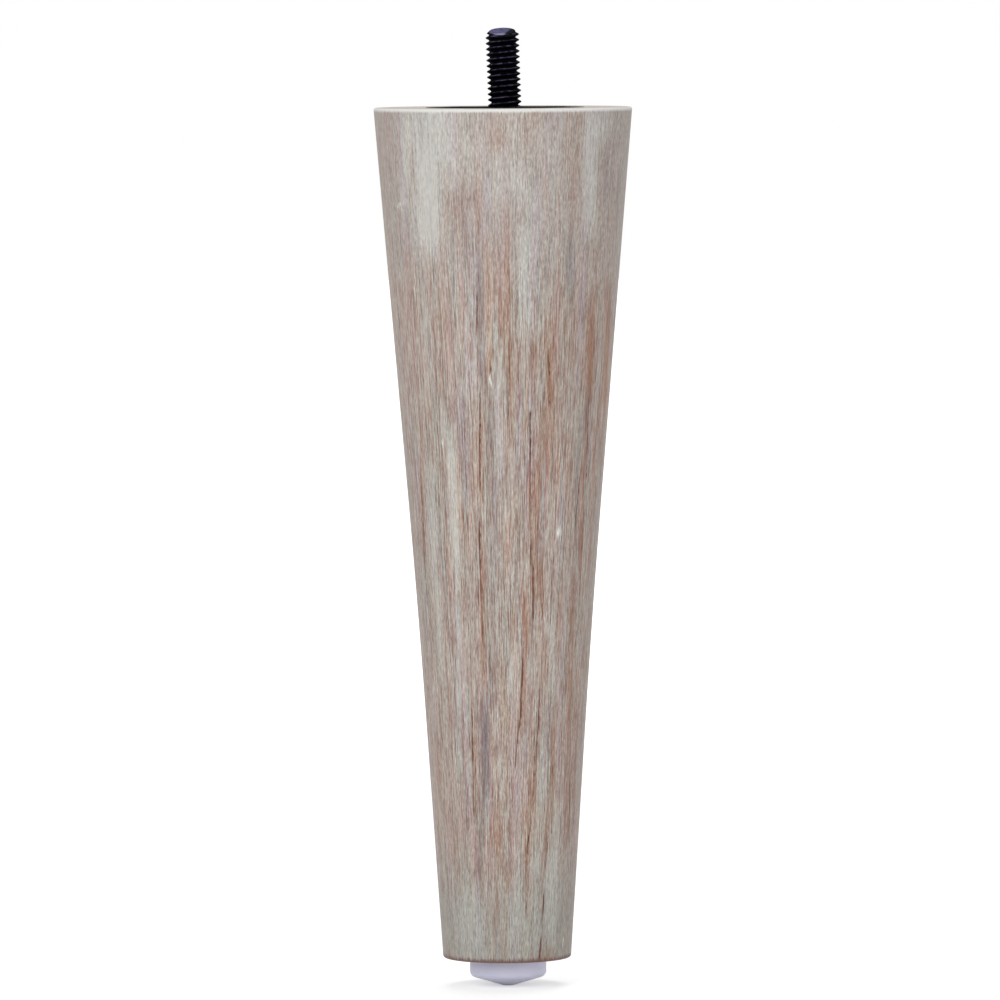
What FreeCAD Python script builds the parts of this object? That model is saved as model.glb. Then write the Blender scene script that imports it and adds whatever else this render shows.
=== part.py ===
import FreeCAD, Part
import math
import os
from collections import namedtuple

# Tapered round wooden furniture leg with a threaded stud on top and a plastic glide under its foot.
#
# The wood is one turned piece, thick at the top and thin at the foot, with sides that run almost straight
# and ease off below the middle. A black steel plate is let in flush with the top face and held by three
# countersunk screws. The stud's flat head lies under the plate, its collar is pressed into the plate's
# middle hole, just below its face, and its threaded shank stands above the plate. The glide is a white
# plastic button moulded on the head of a nail, which is driven into the middle of the foot.
#
# The frame is in millimetres, with +Z up along the leg. The origin is where the stud leaves the top face,
# so the wood lies below zero and the stud's shank above it. The front of the leg faces -Y. The plate and
# the stud are set a little to the right of the wood's middle, and so is the glide.
#
# The shank and the screws are drawn at their outer diameter, without the thread.

# Wood: a steeper taper above and a slimmer one below, which meet in a very soft knee. The knee is a share
# of the way down, and lies a little inside the straight line from the top edge to the foot edge.
leg_length = 241.3
top_radius = 36.6
foot_radius = 18.15
knee_share = 0.6
knee_hollow = 1.0
knee_reach = 35.0
top_edge_bevel = 0.5
foot_edge_bevel = 0.6
wood_left_of_stud = 0.6

# Plate let into the top of the wood.
plate_radius = 22.5
plate_thickness = 2.5
plate_side_gap = 0.15

# Stud, with a machine thread of 3/8 inch and 16 threads to the inch, pressed into the plate's middle.
stud_radius = 4.7625
stud_height = 21.4
stud_thread_depth = 0.97
stud_chamfer_height = 0.9
stud_lean_deg = 1.9
stud_end_slant_deg = 14.0
collar_radius = 6.0
collar_recess = 0.4
neck_height = 0.3
collar_side_gap = 0.02
head_radius = 8.0
head_thickness = 2.4
head_pocket_gap = 0.4

# Screws that hold the plate.
screw_count = 3
screw_first_angle_deg = 25.0
screw_edge_distance = 8.3
screw_shank_radius = 2.1
screw_length = 19.0
screw_point_length = 5.0
screw_sink_radius = 4.0
screw_head_proud = 0.15
screw_hole_gap = 0.2
cross_length = 4.6
cross_width = 1.1
cross_depth = 1.5
cross_bottom_length = 2.2
cross_turns_deg = (20.0, 65.0, 38.0)

# Glide and its nail.
glide_radius = 10.85
glide_height = 8.0
glide_cone_deg = 17.0
glide_flat_radius = 1.6
glide_corner_bevel = 1.3
glide_left_of_stud = 0.35
nail_shank_radius = 1.4
nail_length = 20.0
nail_point_length = 4.0
nail_head_radius = 4.2
nail_head_thickness = 1.6
nail_head_cover = 2.2

# How far a cutting tool runs past the face that it opens.
overrun = 1.0

UP = FreeCAD.Vector(0, 0, 1)


def at(radius, height):
    """A point of a half section: its distance from the axis and its height."""
    return FreeCAD.Vector(radius, 0, height)


def bevel(begin, corner, finish):
    return Part.makeLine(begin, finish)


def parabola(begin, corner, finish):
    """A soft bend that runs into both sides of its corner."""
    curve = Part.BezierCurve()
    curve.setPoles([begin, corner, finish])
    return curve.toShape()


# A corner of a half section: its distance from the axis, its height, how far along each of its two sides
# it is cut or eased, and what replaces it there.
Corner = namedtuple("Corner", "radius height reach ease", defaults=(0, bevel))


def turned(corners):
    """The solid made by turning a closed half section about the Z axis, from its corners in order."""
    points = [at(corner.radius, corner.height) for corner in corners]
    edges = []
    stops = []
    for n, corner in enumerate(corners):
        here = points[n]
        begin = here + (points[n - 1] - here).normalize() * corner.reach
        finish = here + (points[(n + 1) % len(points)] - here).normalize() * corner.reach
        stops.append((begin, finish))
        if corner.reach:
            edges.append(corner.ease(begin, here, finish))
    for (begin, finish), (next_begin, next_finish) in zip(stops, stops[1:] + stops[:1]):
        edges.append(Part.makeLine(finish, next_begin))
    section = Part.Face(Part.Wire(Part.__sortEdges__(edges)))
    return section.revolve(FreeCAD.Vector(0, 0, 0), UP, 360)


def cylinder(radius, bottom, top):
    return Part.makeCylinder(radius, top - bottom, FreeCAD.Vector(0, 0, bottom), UP)


def screw_places():
    """Where the screws stand on their circle."""
    circle_radius = plate_radius - screw_edge_distance
    for n in range(screw_count):
        angle = math.radians(screw_first_angle_deg + n * 360.0 / screw_count)
        yield circle_radius * math.cos(angle), circle_radius * math.sin(angle)


def screw_blank():
    """A countersunk screw on the Z axis: its cone seats in the plate and its shank tapers to a point."""
    head_bottom = screw_shank_radius - screw_sink_radius
    return turned(
        [
            Corner(0, screw_head_proud),
            Corner(screw_sink_radius + screw_head_proud, screw_head_proud),
            Corner(screw_shank_radius, head_bottom),
            Corner(screw_shank_radius, screw_point_length - screw_length),
            Corner(0, -screw_length),
        ]
    )


def cross_recess():
    """The cross-shaped driver recess, which narrows towards its bottom."""
    top = screw_head_proud
    half_width = cross_width / 2
    arm = Part.Face(
        Part.makePolygon(
            [
                FreeCAD.Vector(-cross_length / 2, half_width, top),
                FreeCAD.Vector(cross_length / 2, half_width, top),
                FreeCAD.Vector(cross_bottom_length / 2, half_width, top - cross_depth),
                FreeCAD.Vector(-cross_bottom_length / 2, half_width, top - cross_depth),
                FreeCAD.Vector(-cross_length / 2, half_width, top),
            ]
        )
    ).extrude(FreeCAD.Vector(0, -cross_width, 0))
    other = arm.copy()
    other.rotate(FreeCAD.Vector(0, 0, 0), UP, 90)
    return arm.fuse(other)


def plate_screw(place, turn_deg):
    recess = cross_recess()
    recess.rotate(FreeCAD.Vector(0, 0, 0), UP, turn_deg)
    screw = screw_blank().cut(recess)
    screw.translate(FreeCAD.Vector(place[0], place[1], 0))
    return screw


def top_plate():
    """A disc with a middle hole for the stud's collar and a countersunk hole for each screw."""
    plate = turned(
        [
            Corner(collar_radius + collar_side_gap, 0),
            Corner(plate_radius, 0),
            Corner(plate_radius, -plate_thickness),
            Corner(collar_radius + collar_side_gap, -plate_thickness),
        ]
    )
    hole_radius = screw_shank_radius + screw_hole_gap
    sink = turned(
        [
            Corner(0, overrun),
            Corner(screw_sink_radius + overrun, overrun),
            Corner(hole_radius, hole_radius - screw_sink_radius),
            Corner(hole_radius, -plate_thickness - overrun),
            Corner(0, -plate_thickness - overrun),
        ]
    )
    for x, y in screw_places():
        hole = sink.copy()
        hole.translate(FreeCAD.Vector(x, y, 0))
        plate = plate.cut(hole)
    return plate


def shank_cutter():
    """What is cut away above the shank's end: everything outside a cone that chamfers it. The cutter tilts
    with the slanted end."""
    end_radius = stud_radius - stud_thread_depth
    outer_radius = 2 * stud_radius
    slope = stud_chamfer_height / stud_thread_depth
    cutter = turned(
        [
            Corner(0, 0),
            Corner(end_radius, 0),
            Corner(outer_radius, slope * (end_radius - outer_radius)),
            Corner(outer_radius, outer_radius),
            Corner(0, outer_radius),
        ]
    )
    cutter.rotate(FreeCAD.Vector(0, 0, 0), FreeCAD.Vector(1, 0, 0), stud_end_slant_deg)
    cutter.translate(FreeCAD.Vector(0, 0, stud_height))
    return cutter


def stud():
    """A flat head under the plate, a collar in the plate's middle hole, and the shank above it, which begins
    with a slim neck, leans a little to the left and ends in a face that slants down to the front."""
    head = cylinder(head_radius, -plate_thickness - head_thickness, -plate_thickness)
    collar = cylinder(collar_radius, -plate_thickness, -collar_recess)
    shank_bottom = neck_height - collar_recess
    neck = cylinder(stud_radius - stud_thread_depth, -plate_thickness, shank_bottom)
    shank = cylinder(stud_radius, shank_bottom, stud_height + stud_radius).cut(shank_cutter())
    shank = shank.fuse(neck)
    shank.rotate(FreeCAD.Vector(0, 0, 0), FreeCAD.Vector(0, 1, 0), -stud_lean_deg)
    return head.fuse(collar).fuse(shank).removeSplitter()


def glide_nail():
    """The nail's head lies inside the glide, and its shank goes up into the foot of the wood."""
    head_bottom = -leg_length - glide_height + nail_head_cover
    head_top = head_bottom + nail_head_thickness
    point = head_top + nail_length
    nail = turned(
        [
            Corner(0, head_bottom),
            Corner(nail_head_radius, head_bottom),
            Corner(nail_head_radius, head_top),
            Corner(nail_shank_radius, head_top),
            Corner(nail_shank_radius, point - nail_point_length),
            Corner(0, point),
        ]
    )
    nail.translate(FreeCAD.Vector(-glide_left_of_stud, 0, 0))
    return nail


def glide_pad(nail):
    """A short round wall with a shallow cone below it, which ends in a small flat where it stands."""
    top = -leg_length
    bottom = top - glide_height
    cone_height = (glide_radius - glide_flat_radius) * math.tan(math.radians(glide_cone_deg))
    pad = turned(
        [
            Corner(0, top),
            Corner(glide_radius, top),
            Corner(glide_radius, bottom + cone_height, glide_corner_bevel),
            Corner(glide_flat_radius, bottom),
            Corner(0, bottom),
        ]
    )
    pad.translate(FreeCAD.Vector(-glide_left_of_stud, 0, 0))
    return pad.cut(nail)


def leg_body(nail):
    """The turned wood, with its sockets for the plate, the stud's head, the screws and the nail."""
    knee_radius = top_radius + knee_share * (foot_radius - top_radius) - knee_hollow
    body = turned(
        [
            Corner(0, 0),
            Corner(top_radius, 0, top_edge_bevel),
            Corner(knee_radius, -knee_share * leg_length, knee_reach, parabola),
            Corner(foot_radius, -leg_length, foot_edge_bevel),
            Corner(0, -leg_length),
        ]
    )
    body.translate(FreeCAD.Vector(-wood_left_of_stud, 0, 0))
    pocket_radius = head_radius + head_pocket_gap
    pocket_floor = -plate_thickness - head_thickness - head_pocket_gap
    body = body.cut(cylinder(plate_radius + plate_side_gap, -plate_thickness, overrun))
    body = body.cut(cylinder(pocket_radius, pocket_floor, overrun))
    for x, y in screw_places():
        screw = screw_blank()
        screw.translate(FreeCAD.Vector(x, y, 0))
        body = body.cut(screw)
    return body.cut(nail)


def main():
    nail = glide_nail()
    nodes = {
        "leg_body": leg_body(nail),
        "top_plate": top_plate(),
        "stud": stud(),
        "glide_pad": glide_pad(nail),
        "glide_nail": nail,
    }
    for n, place in enumerate(screw_places()):
        turn_deg = cross_turns_deg[n % len(cross_turns_deg)]
        nodes["plate_screw_%d" % (n + 1)] = plate_screw(place, turn_deg)
    os.makedirs("parts", exist_ok=True)
    for name, shape in nodes.items():
        print(name, len(shape.Solids), shape.isValid(), round(shape.Volume, 1))
        shape.exportStep("parts/%s.step" % name)


main()
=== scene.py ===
import math
from collections import namedtuple

import bpy
import numpy as np
from mathutils import Matrix, Vector


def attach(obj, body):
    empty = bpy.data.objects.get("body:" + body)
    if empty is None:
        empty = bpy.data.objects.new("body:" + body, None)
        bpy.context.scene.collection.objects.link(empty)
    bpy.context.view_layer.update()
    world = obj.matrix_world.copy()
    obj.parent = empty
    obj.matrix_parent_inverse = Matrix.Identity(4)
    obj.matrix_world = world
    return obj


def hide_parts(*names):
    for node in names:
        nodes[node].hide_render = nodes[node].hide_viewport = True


# Dressed model of a tapered whitewashed furniture leg: turned wood with a worn wash, a black plate and a
# threaded stud on top, and a white plastic glide under the foot. Lengths are in millimetres until a mesh
# is made; the frame, the lamps, the camera and an Object coordinate are in metres.

MM = 0.001
TURN = 2 * math.pi

# Wood
leg_length = 241.3
top_radius = 36.6
foot_radius = 18.15
knee_share = 0.6
knee_hollow = 1.0
knee_reach = 35.0
top_edge_round = 0.6
foot_edge_round = 0.8
edge_zone = 6.0
wood_left_of_stud = 0.6
socket_radius = 22.65
socket_depth = 2.5
socket_edge_round = 0.2
pocket_radius = 8.4
pocket_depth = 5.3
wood_columns = 256
side_rows = 150
grain_radius = 30.0

# Stud and its thread: the shares are of a pitch, and those of the end face of its radius
stud_radius = 4.7625
stud_height = 21.4
stud_chamfer_height = 0.9
stud_lean = math.radians(1.9)
stud_end_slant = math.radians(14.0)
thread_pitch = 1.5875
thread_depth = 0.97
thread_rows = 16
thread_start = 0.66
thread_easing = 0.05
crest_share = 0.15
crest_middle_share = 0.03
flank_share = 0.34
root_middle_share = 0.4
# Where a highlight is painted along the upper flanks: its middle and its reach, as shares of a pitch
painted_highlight_middle = 0.2
painted_highlight_reach = 0.12
runout_share = 0.8
runout_flare = 0.35
end_face_round = 0.18
end_face_hollow = 0.12
end_face_hollow_share = 0.8
end_face_rim_share = 0.08
end_face_rings = (0.985, 0.96, 0.92, 0.8, 0.6, 0.4, 0.2)
stud_columns = 96
shank_bottom = -0.1
collar_radius = 6.0
collar_top = -0.4
collar_round = 0.15
collar_inset = 0.75
head_radius = 8.0
head_bottom = -4.9
head_top = -2.5
head_round = 0.2

# Glide
glide_radius = 10.85
glide_height = 8.0
glide_cone = math.radians(17.0)
glide_flat_radius = 1.6
glide_flat_round = 0.8
glide_corner_round = 1.65
glide_mould_round = 0.3
glide_left_of_stud = 0.35
# How high up from its bottom the glide is darkened by painted shade
glide_shade_height = 2.9
glide_columns = 144

# Where the leg stands, in metres
ground = -(leg_length + glide_height) * MM

# Strokes of the wash: millimetres to a pixel, how far their ends fade out, and the share of their half
# width that is full. To place them, a pixel's ray is cut with the side, a little inside it, in rounds.
pixel_size = 0.2835
broad_tones = ("cream", "brown", "pink", "grey")
broad_fade = 7.0
broad_core = 0.2
narrow_fade = 1.5
narrow_core = 0.25
ray_rounds = 8
ray_inset = 0.01

# Heights between which the pale film at the top and the one at the foot set in
upper_zone = (-66, -30)
foot_zone = (-205, -228)

# Faces of the wood that show end grain: how upright they look, and the socket with a margin
end_facing = 0.93
socket_margin = 0.1
socket_reach = 20.0

# The photograph's camera: its place, its lens and how it is held
photo_size = 1000
camera_distance = 2.58
camera_height = 0.0373
camera_side = -0.00197
camera_tilt = math.radians(3.295)
camera_roll = math.radians(-0.295)
camera_lens = 328.2
camera_sensor = 36.0

# Light: the floor's glow for the camera near the leg and far away, where it starts and stops to change, the
# strength of the world and where the lamps aim
near_glow = 0.48
far_glow = 1.0
near_reach = 0.4
far_reach = 1.6
world_light = 0.37
floor_half = 6.0
lamp_aim = (0, 0, -0.1)

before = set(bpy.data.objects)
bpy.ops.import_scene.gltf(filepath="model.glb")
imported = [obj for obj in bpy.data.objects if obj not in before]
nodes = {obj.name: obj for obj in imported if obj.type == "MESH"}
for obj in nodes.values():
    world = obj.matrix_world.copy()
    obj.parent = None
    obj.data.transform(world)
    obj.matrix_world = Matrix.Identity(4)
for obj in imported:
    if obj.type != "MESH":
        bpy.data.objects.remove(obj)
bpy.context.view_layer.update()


# Shapes

def arc_corner(before, corner, after, size, steps):
    """The points that ease a corner: an arc of radius size, tangent to both sides, whose centre lies on the
    line that halves the corner's angle."""
    before, corner, after = (np.array(p, float) for p in (before, corner, after))
    one = (before - corner) / np.linalg.norm(before - corner)
    two = (after - corner) / np.linalg.norm(after - corner)
    half = math.acos(float(np.clip(one @ two, -1, 1))) / 2
    middle = (one + two) / np.linalg.norm(one + two)
    centre = corner + middle * size / math.sin(half)
    first = corner + one * size / math.tan(half) - centre
    last = corner + two * size / math.tan(half) - centre
    spread = math.pi - 2 * half
    t = np.linspace(0, 1, steps + 1)[:, None]
    return centre + (first * np.sin((1 - t) * spread) + last * np.sin(t * spread)) / math.sin(spread)


def eased_profile(corners, steps, guard=0.35):
    """A half section from its corners (radius, height, easing). An eased corner becomes an arc with one
    guard point beside each end, so that the flat faces next to it stay flat."""
    points = []
    for n, (radius, height, size) in enumerate(corners):
        here = np.array((radius, height), float)
        if not size:
            points.append(here)
            continue
        before = np.array(corners[n - 1][:2], float)
        after = np.array(corners[n + 1][:2], float)
        arc = arc_corner(before, here, after, size, steps)
        to_before = (before - arc[0]) / np.linalg.norm(before - arc[0])
        to_after = (after - arc[-1]) / np.linalg.norm(after - arc[-1])
        points += [arc[0] + to_before * guard * size, *arc, arc[-1] + to_after * guard * size]
    return np.array(points)


def side_curve(height):
    """The wood's radius at a height below the top face: two straight tapers joined by a parabola whose
    three poles are a point up the first taper, the knee and a point down the second one."""
    knee_height = -knee_share * leg_length
    knee_radius = top_radius + knee_share * (foot_radius - top_radius) - knee_hollow
    top, knee, foot = (np.array(p) for p in (
        (top_radius, 0.0), (knee_radius, knee_height), (foot_radius, -leg_length)))
    begin = knee + (top - knee) / np.linalg.norm(top - knee) * knee_reach
    finish = knee + (foot - knee) / np.linalg.norm(foot - knee) * knee_reach
    t = np.linspace(0, 1, 41)[:, None]
    bend = (1 - t) ** 2 * begin + 2 * t * (1 - t) * knee + t ** 2 * finish
    line = np.vstack([foot, bend[::-1], top])
    return np.interp(height, line[:, 1], line[:, 0])


def add_object(name, data):
    made = bpy.data.objects.new(name, data)
    bpy.context.scene.collection.objects.link(made)
    return made


def fill_mesh(name, points, faces):
    mesh = bpy.data.meshes.new(name)
    mesh.from_pydata((np.asarray(points) * MM).tolist(), [], faces)
    mesh.validate()
    mesh.shade_smooth()
    return add_object(name, mesh)


def write_attribute(made, name, values):
    """One value, or one row of three, for each point of a mesh."""
    kind, key = ("FLOAT", "value") if values.ndim == 1 else ("FLOAT_VECTOR", "vector")
    data = made.data.attributes.new(name, kind, "POINT").data
    data.foreach_set(key, values.astype(np.float32).ravel())


def read_values(items, key, each=1, kind=float):
    values = np.zeros(len(items) * each, kind)
    items.foreach_get(key, values)
    return values


def around_back(columns):
    """The angles of a turned grid's columns, from the seam at the back."""
    return math.pi / 2 + np.arange(columns) * TURN / columns


def ring_points(radius, height, angle, middle=0.0):
    """One row of points for each radius and height and one column for each angle, about upright axes."""
    radius, height, middle = (np.reshape(values, (-1, 1)) for values in (radius, height, middle))
    point = middle + radius * np.cos(angle), radius * np.sin(angle), height
    return np.stack(np.broadcast_arrays(*point), axis=-1).reshape(-1, 3)


def ring_faces(first_row, rows, columns, offset=0):
    """Quads between the rows of a closed grid: point (row, column) is offset + row * columns + column."""
    i = np.arange(first_row, first_row + rows - 1)[:, None]
    j = np.arange(columns)[None, :]
    k = (j + 1) % columns
    a = offset + i * columns
    return np.stack([a + j, a + k, a + columns + k, a + columns + j], axis=-1).reshape(-1, 4)


def fan_faces(pole, start, columns, upward):
    """Triangles that close a row of points to one pole."""
    j = start + np.arange(columns)
    k = start + (np.arange(columns) + 1) % columns
    poles = np.full(columns, pole)
    order = [poles, j, k] if upward else [poles, k, j]
    return np.stack(order, axis=-1).tolist()


def turned(name, profile, columns, middle):
    """A closed skin turned about upright axes: the point at angle a and profile place i lies at
    (middle_i + radius_i cos a, radius_i sin a, height_i), with the seam at the back. The profile runs from
    the bottom of the axis to its top, and each end becomes one pole. Returns the object and the inner part
    of the profile."""
    inner = profile[1:-1]
    middle = middle + np.zeros(len(profile))
    grid = ring_points(inner[:, 0], inner[:, 1], around_back(columns), middle[1:-1])
    poles = [[middle[0], 0, profile[0, 1]], [middle[-1], 0, profile[-1, 1]]]
    count = len(grid)
    faces = ring_faces(0, len(inner), columns).tolist()
    faces += fan_faces(count, 0, columns, False)
    faces += fan_faces(count + 1, count - columns, columns, True)
    return fill_mesh(name, np.vstack([grid, poles]), faces), inner


def wood_profile():
    """Foot centre, foot edge, side, top edge, top face, plate socket with its pocket, and their centre."""
    low = edge_zone - leg_length
    high = -edge_zone
    foot = eased_profile([
        (0, -leg_length, 0), (foot_radius, -leg_length, foot_edge_round), (side_curve(low), low, 0)], 8)
    top = eased_profile([
        (side_curve(high), high, 0), (top_radius, 0, top_edge_round), (socket_radius, 0, socket_edge_round),
        (socket_radius, -socket_depth, 0), (pocket_radius, -socket_depth, 0),
        (pocket_radius, -pocket_depth, 0), (0, -pocket_depth, 0)], 8)
    height = np.linspace(low, high, side_rows)
    side = np.stack([side_curve(height), height], axis=-1)
    return np.vstack([foot[:-1], side, top[1:]])


def straight_grain(made, inner, columns):
    """Two coordinates that follow the turned side. The attribute puts every point on one cylinder of the
    mean radius, so a streak narrows with the taper and closes round the back. The map unrolls that
    cylinder: across is the share of a turn from the seam at the back, along is the height."""
    mesh = made.data
    body = ring_points(grain_radius, inner[:, 1], around_back(columns))
    straight = np.vstack([body, [(0, 0, -leg_length), (0, 0, -pocket_depth)]])
    write_attribute(made, "straight_grain", straight)
    corner_point = read_values(mesh.loops, "vertex_index", kind=int)
    sizes = read_values(mesh.polygons, "loop_total", kind=int)
    column = np.where(corner_point < len(body), corner_point % columns, -1)
    face_of_corner = np.repeat(np.arange(len(sizes)), sizes)
    last = np.zeros(len(sizes), bool)
    np.logical_or.at(last, face_of_corner, column == columns - 1)
    across = np.where((column == 0) & last[face_of_corner], columns, column) / columns
    face_across = np.zeros(len(sizes))
    np.maximum.at(face_across, face_of_corner, across)
    across = np.where(column < 0, face_across[face_of_corner], across)
    flat = np.stack([across, 1 + straight[corner_point, 2] / leg_length], axis=-1)
    mesh.uv_layers.new(name="unrolled_side").data.foreach_set("uv", flat.astype(np.float32).ravel())


def stud_points(angle, radius, along):
    """Points of the leaning stud: polar about its axis, which leans from the vertical to the left."""
    x = radius * np.cos(angle)
    y = radius * np.sin(angle)
    return np.stack([
        x * math.cos(stud_lean) - along * math.sin(stud_lean),
        y + 0 * along,
        x * math.sin(stud_lean) + along * math.cos(stud_lean)], axis=-1).reshape(-1, 3)


def threaded_stud():
    """The shank is a strip that winds up with the thread: point (row, column) lies at angle a and at the
    height row * pitch / rows_in_a_pitch + pitch * a / turn, so each crest and root is a line of the grid.
    The radius falls from crest to root by a trapezoid of the place within a pitch: a narrow crest flat,
    straight flanks and a narrow root. Rows beyond an end are drawn in onto it, the upper end being a slanted
    plane, and the radius stays inside the cone that chamfers that end. The attribute holds where a highlight
    is painted along the upper flanks, and the end face."""
    columns = stud_columns
    angle = np.arange(columns) * TURN / columns
    end_rise = math.tan(stud_end_slant)
    end_radius = stud_radius - thread_depth
    first_crest = thread_start - thread_pitch / 2
    row = np.arange(-3 * thread_rows, int((stud_height + 6) / thread_pitch * thread_rows))
    along = first_crest + row[:, None] * thread_pitch / thread_rows + thread_pitch * angle / TURN
    phase = (row % thread_rows) / thread_rows
    away = np.minimum(phase, 1 - phase)
    share = np.clip((away - crest_share / 2) / flank_share, 0, 1)
    crest_side = (share == 0) & (away > crest_middle_share)
    root_side = (share == 1) & (away < root_middle_share)
    share = share + thread_easing * crest_side - thread_easing * root_side

    def end_height(radius):
        return stud_height + radius * np.sin(angle) * end_rise

    radius = stud_radius - thread_depth * share[:, None] + 0 * along
    fade = np.clip((along - shank_bottom) / (runout_share * thread_pitch), 0, 1)
    radius = np.minimum(radius + (1 - fade) ** 2 * runout_flare, stud_radius)
    gap = end_height(radius) - along
    radius = np.minimum(radius, end_radius + np.clip(gap, 0, None) * thread_depth / stud_chamfer_height)
    high = along >= end_height(radius)
    low = along <= shank_bottom
    bottom_radius = collar_radius - collar_inset
    radius = np.where(low, bottom_radius, np.where(high, end_radius, radius))
    along = np.where(low, shank_bottom, np.where(high, end_height(end_radius), along))
    first_high = np.argmax(high, axis=0)
    last_low = len(row) - 1 - np.argmax(low[::-1], axis=0)

    count = len(row)
    kept = np.clip(np.arange(count)[:, None], last_low, first_high)
    point = kept * columns + np.arange(columns)
    beyond = np.clip(np.arange(count) + thread_rows, last_low[0], first_high[0])
    point = np.hstack([point, (beyond * columns)[:, None]])
    corners = point[:-1, :-1], point[:-1, 1:], point[1:, 1:], point[1:, :-1]
    quads = np.stack(corners, axis=-1).reshape(-1, 4)
    body = stud_points(angle, radius, along)

    ring = np.arange(columns)
    profile = eased_profile([
        (0, head_bottom, 0), (head_radius, head_bottom, head_round), (head_radius, head_top, 0),
        (collar_radius, head_top, 0), (collar_radius, collar_top, collar_round),
        (bottom_radius + 0.1, collar_top, 0), (bottom_radius, shank_bottom - 0.12, 0)], 4)
    skirt = profile[1:]
    upright = ring_points(skirt[:, 0], skirt[:, 1], angle)

    shares = np.array(end_face_rings)
    face_radius = end_radius * shares[:, None] * np.ones(columns)
    into_rim = (shares - (1 - end_face_rim_share)).clip(0) / end_face_rim_share
    crown = end_face_round * np.sqrt(np.clip(1 - into_rim ** 2, 0, 1))
    crown = crown - end_face_hollow * np.clip(1 - shares / end_face_hollow_share, 0, 1) ** 2
    face = stud_points(angle, face_radius, end_height(face_radius) + crown[:, None])
    tip = stud_points(np.zeros(1), np.zeros(1), np.full(1, stud_height + crown[-1]))

    points = np.vstack([body, upright, face, tip, [[0, 0, head_bottom]]])
    skirt_at = len(body)
    face_at = skirt_at + len(upright)
    tip_at = face_at + len(face)

    def join(lower, upper):
        k = (ring + 1) % columns
        return np.stack([lower, lower[k], upper[k], upper], axis=-1)

    quads = np.vstack([
        quads,
        ring_faces(0, len(skirt), columns, skirt_at),
        join(face_at - columns + ring, last_low * columns + ring),
        join(first_high * columns + ring, face_at + ring),
        ring_faces(0, len(shares), columns, face_at)])
    faces = []
    for corners in quads.tolist():
        kept_corners = [p for n, p in enumerate(corners) if p != corners[n - 1]]
        if len(set(kept_corners)) > 2:
            faces.append(kept_corners)
    faces += fan_faces(tip_at, tip_at - columns, columns, True)
    faces += fan_faces(tip_at + 1, skirt_at, columns, False)
    used, flat = np.unique(np.concatenate([np.array(f) for f in faces]), return_inverse=True)
    sizes = np.cumsum([0] + [len(f) for f in faces])
    faces = [flat[sizes[n]:sizes[n + 1]].tolist() for n in range(len(faces))]
    made = fill_mesh("threaded_stud", points[used], faces)

    # Where a highlight is painted along the upper flanks, and the end face
    flank_highlight = np.clip(1 - np.abs(phase - painted_highlight_middle) / painted_highlight_reach, 0, 1)
    marks = np.zeros((len(points), 3))
    marks[:len(body), 0] = (flank_highlight[:, None] * ~(high | low)).ravel()
    marks[face_at:tip_at + 1, 1] = 1
    write_attribute(made, "painted_highlight_and_end_face", marks[used])
    return made


def glide_profile():
    """Foot of the glide: a small flat, a shallow cone, a rounded corner and a short straight wall."""
    top = -leg_length
    bottom = top - glide_height
    cone_height = (glide_radius - glide_flat_radius) * math.tan(glide_cone)
    return eased_profile([
        (0, bottom, 0), (glide_flat_radius, bottom, glide_flat_round),
        (glide_radius, bottom + cone_height, glide_corner_round), (glide_radius, top, glide_mould_round),
        (0, top, 0)], 8, 0.2)


wood_shape = wood_profile()
centred = (wood_shape[:, 0] < socket_radius + 2 * socket_edge_round) & (wood_shape[:, 1] > -2 * pocket_depth)
wood, wood_rings = turned(
    "whitewashed_leg", wood_shape, wood_columns, np.where(centred, 0.0, -wood_left_of_stud))
stud = threaded_stud()
glide, _ = turned("plastic_glide", glide_profile(), glide_columns, -glide_left_of_stud)


# Materials

def paint(red, green, blue):
    """A colour as it is seen on a screen, from 0 to 255, in the linear values that a shader takes."""
    seen = np.array([red, green, blue]) / 255
    linear = np.where(seen <= 0.04045, seen / 12.92, ((seen + 0.055) / 1.055) ** 2.4)
    return (*linear.tolist(), 1.0)


def put(tree, socket, value):
    if isinstance(value, bpy.types.NodeSocket):
        tree.links.new(value, socket)
    else:
        socket.default_value = value


def make(tree, kind, **inputs):
    """A shader node, with a value or a link for each input named."""
    node = tree.nodes.new("ShaderNode" + kind)
    for key, value in inputs.items():
        put(tree, node.inputs[key.replace("_", " ")], value)
    return node


def operate(tree, kind, operation, values):
    """The result of a Math or Vector Math node."""
    node = make(tree, kind)
    node.operation = operation
    for socket, value in zip(node.inputs, values):
        put(tree, socket, value)
    return node.outputs[0]


def calc(tree, operation, *values):
    return operate(tree, "Math", operation, values)


def add(tree, *values):
    return calc(tree, "ADD", *values)


def minus(tree, *values):
    return calc(tree, "SUBTRACT", *values)


def times(tree, *values):
    return calc(tree, "MULTIPLY", *values)


def vector(tree, operation, *values):
    return operate(tree, "VectorMath", operation, values)


def ramp(tree, value, low, high, to_low=0.0, to_high=1.0, smooth=True):
    """A value carried from one range to another and held at its ends."""
    node = make(tree, "MapRange")
    node.interpolation_type = "SMOOTHSTEP" if smooth else "LINEAR"
    for socket, given in zip(node.inputs, (value, low, high, to_low, to_high)):
        put(tree, socket, given)
    return node.outputs[0]


def blend(tree, share, first, second):
    """The second colour laid over the first by a share."""
    node = make(tree, "Mix")
    node.data_type = "RGBA"
    for place, value in ((0, share), (6, first), (7, second)):
        put(tree, node.inputs[place], value)
    return node.outputs[2]


def parts_of(tree, value):
    """The three numbers of a vector or a colour."""
    return make(tree, "SeparateXYZ", Vector=value).outputs


def attribute(tree, name, output="Vector"):
    node = make(tree, "Attribute")
    node.attribute_name = name
    return node.outputs[output]


def object_place(tree):
    return make(tree, "TexCoord").outputs["Object"]


def stretch(tree, place, across, along):
    """Coordinates divided by a size across the grain and a size along it."""
    return vector(tree, "MULTIPLY", place, (1 / across, 1 / across, 1 / along))


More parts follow.
